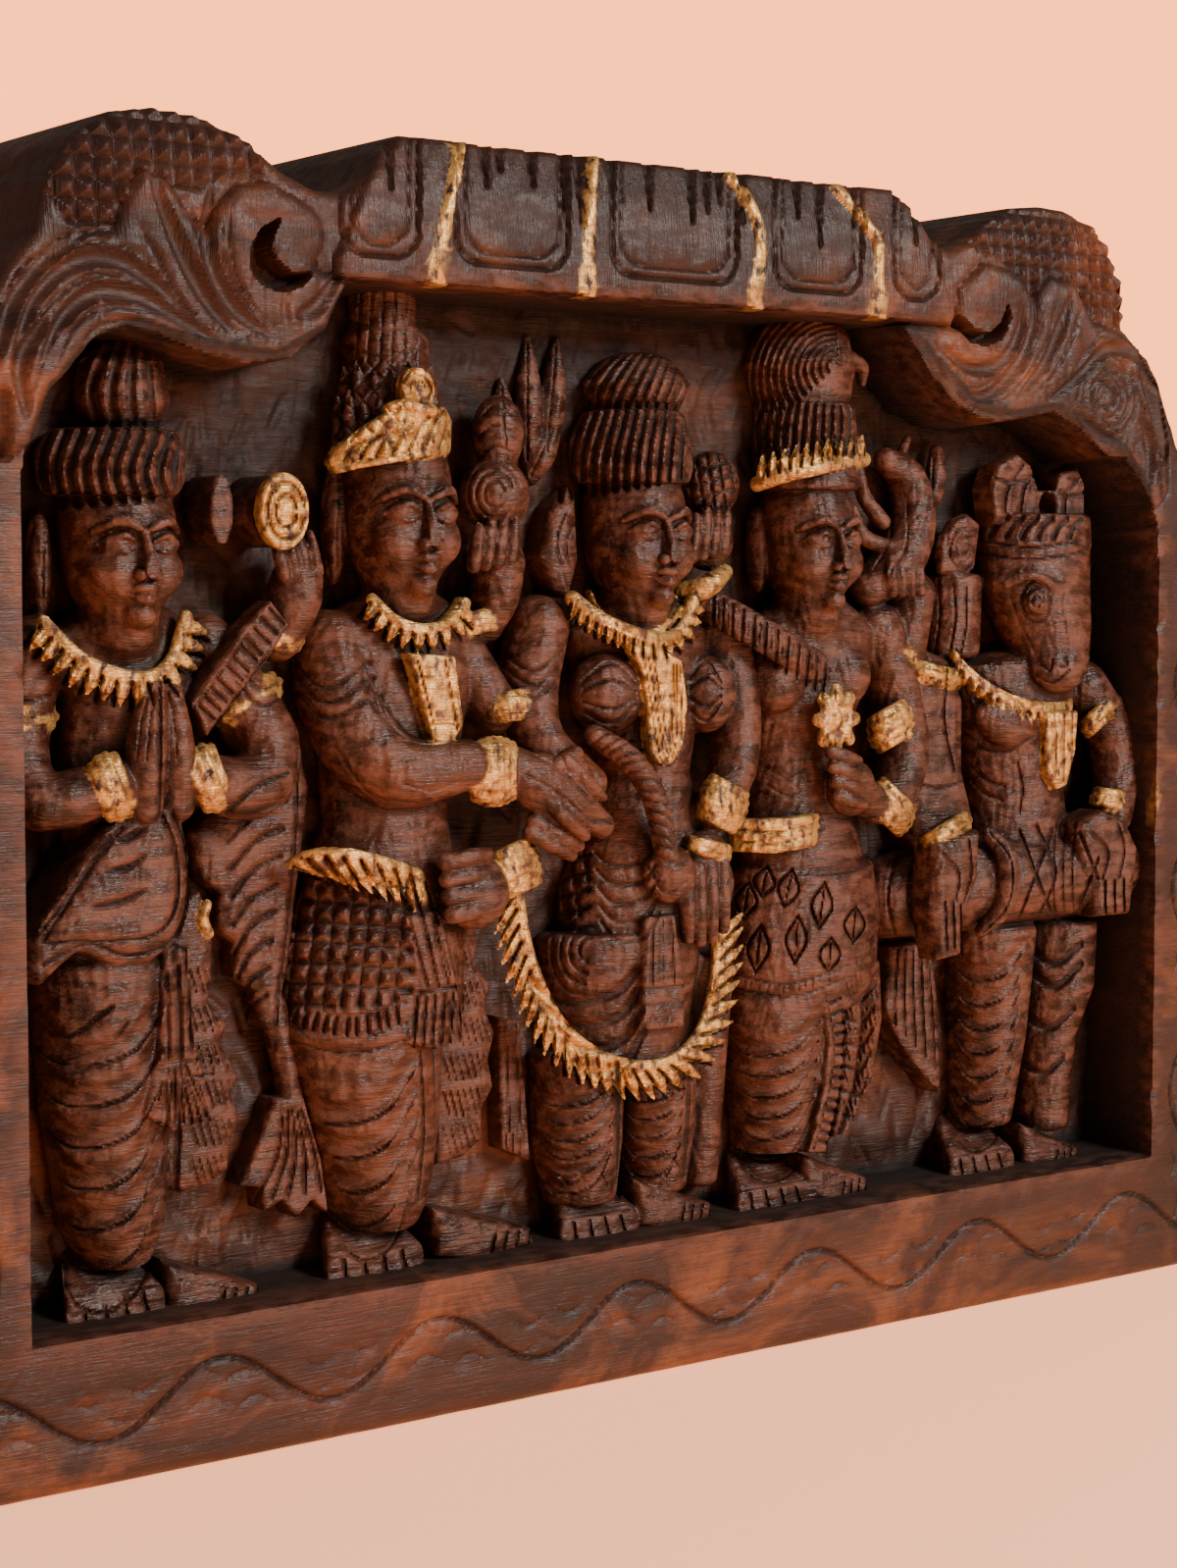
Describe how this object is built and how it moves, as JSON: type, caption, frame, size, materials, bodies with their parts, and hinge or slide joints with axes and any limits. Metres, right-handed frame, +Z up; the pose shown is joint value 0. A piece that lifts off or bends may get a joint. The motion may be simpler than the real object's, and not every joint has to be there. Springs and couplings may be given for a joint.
{
  "type": "carved wood panel",
  "caption": "Thick wood relief panel with standing figures in a framed niche under a petalled canopy, scrolled shoulders and gilt touches.",
  "frame": {"origin": "middle of the flat underside, halfway between the canopy's front lip and the flat back", "axes": "+X along the panel's width to the right of a viewer who faces the carving, -Y out of the carved face, +Z up"},
  "size_m": [0.432, 0.076, 0.318],
  "materials": {
    "stained_wood": "dark brown stained hardwood, semi-gloss, worn orange-brown on the high spots, ornaments touched with warm gold paint"
  },
  "bodies": {
    "root": {"carved_panel": "stained_wood"}
  },
  "joints": []
}
